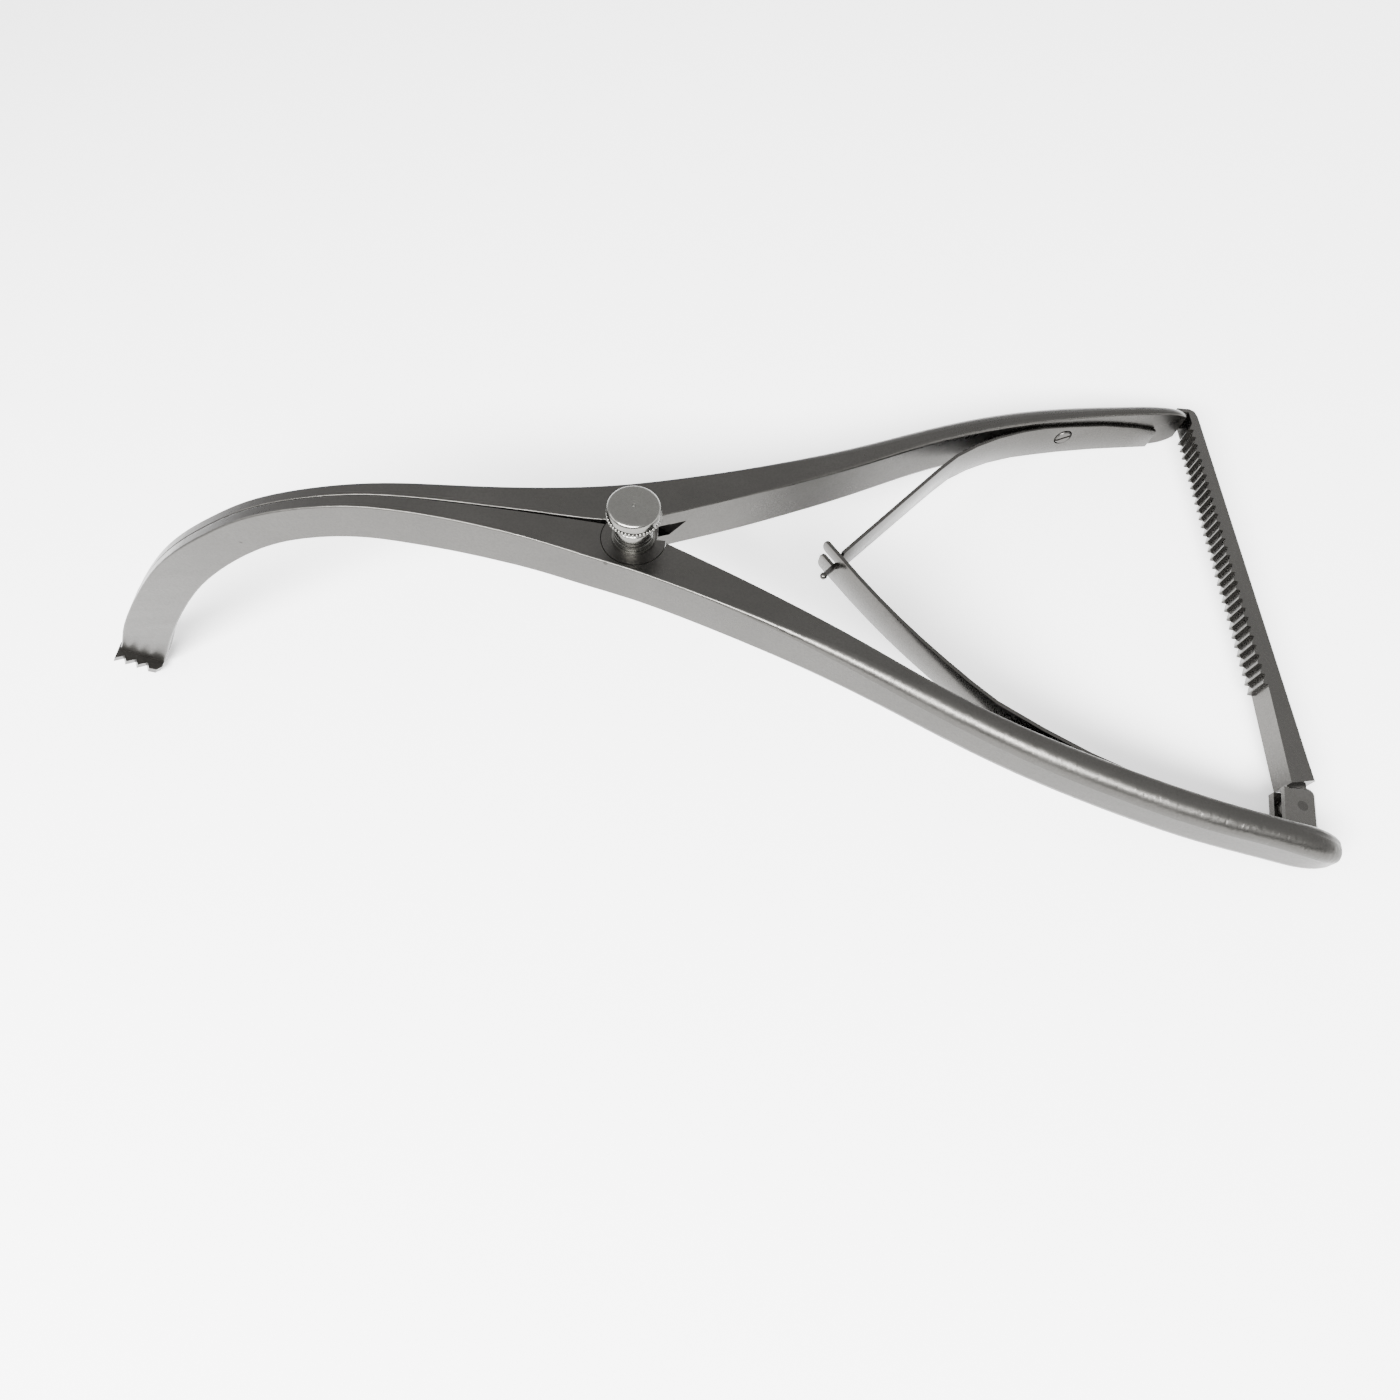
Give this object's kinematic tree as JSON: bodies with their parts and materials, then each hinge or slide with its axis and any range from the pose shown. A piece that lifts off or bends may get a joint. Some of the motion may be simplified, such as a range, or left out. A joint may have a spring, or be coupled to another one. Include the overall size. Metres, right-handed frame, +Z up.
{
  "type": "bone spreader forceps",
  "caption": "Stainless steel bone spreader with curved toothed jaws on a thumbscrew pivot, leaf springs between the handles and a hinged ratchet bar that holds them.",
  "frame": {"origin": "middle of the tool's box, on the plane it rests on", "axes": "+X from the jaws to the handle ends, +Y towards the upper handle, +Z up as it lies with the thumbscrew on top"},
  "size_m": [0.2646, 0.103, 0.0552],
  "materials": {
    "lower_arm_steel": "satin, with ground and polished edges",
    "upper_arm_steel": "satin, with ground and polished edges",
    "screw_steel": "turned and polished",
    "spring_steel": "satin",
    "fastener_steel": "satin",
    "bar_steel": "satin, milled teeth",
    "clevis_steel": "satin"
  },
  "bodies": {
    "lower_arm": {"lower_arm": "lower_arm_steel", "ratchet_clevis": "clevis_steel", "ratchet_hinge_pin": "fastener_steel", "lower_spring_screw": "fastener_steel", "ratchet_spring": "spring_steel", "ratchet_spring_screw": "fastener_steel"},
    "upper_arm": {"upper_arm": "upper_arm_steel", "upper_spring_screw": "fastener_steel"},
    "lower_leaf": {"lower_spring": "spring_steel"},
    "upper_leaf": {"upper_spring": "spring_steel"},
    "screw_collar": {"pivot_washer": "screw_steel"},
    "thumbscrew": {"pivot_screw": "screw_steel"},
    "ratchet_bar": {"ratchet_bar": "bar_steel"}
  },
  "joints": [
    {"name": "handle_pivot", "type": "hinge", "parent": "lower_arm", "child": "upper_arm", "pos_m": [0.0093, -0.001, 0.03614], "axis": [-0.2572, 0, -0.9664], "range_deg": [0, 30], "stiffness_Nm_per_rad": 3, "springref_deg": -14.32},
    {"name": "lower_spring_flex", "type": "hinge", "parent": "lower_arm", "child": "lower_leaf", "pos_m": [0.07308, -0.0264, 0.01916], "axis": [0.2572, 0, 0.9664], "range_deg": [0, 19.5], "deforming": ["lower_spring"]},
    {"name": "upper_spring_flex", "type": "hinge", "parent": "upper_arm", "child": "upper_leaf", "pos_m": [0.07308, 0.0316, 0.01916], "axis": [-0.2572, 0, -0.9664], "range_deg": [0, 19.5], "deforming": ["upper_spring"]},
    {"name": "screw_lift", "type": "slide", "parent": "lower_arm", "child": "screw_collar", "axis": [0.2572, 0, 0.9664], "range_m": [0, 0.0098]},
    {"name": "screw_turn", "type": "hinge", "parent": "screw_collar", "child": "thumbscrew", "pos_m": [0.01187, -0.001, 0.0458], "axis": [0.2572, 0, 0.9664], "range_deg": [0, 5040]},
    {"name": "bar_swing", "type": "hinge", "parent": "lower_arm", "child": "ratchet_bar", "pos_m": [0.12669, -0.042, 0.00521], "axis": [-0.2572, 0, -0.9664], "range_deg": [0, 15.9]}
  ],
  "couplings": [
    {"joint": "lower_spring_flex", "follows": "handle_pivot", "ratio": 0.65},
    {"joint": "upper_spring_flex", "follows": "handle_pivot", "ratio": 0.65},
    {"joint": "bar_swing", "follows": "handle_pivot", "ratio": 0.53},
    {"joint": "screw_turn", "follows": "screw_lift", "rad_per_m": 8976}
  ]
}
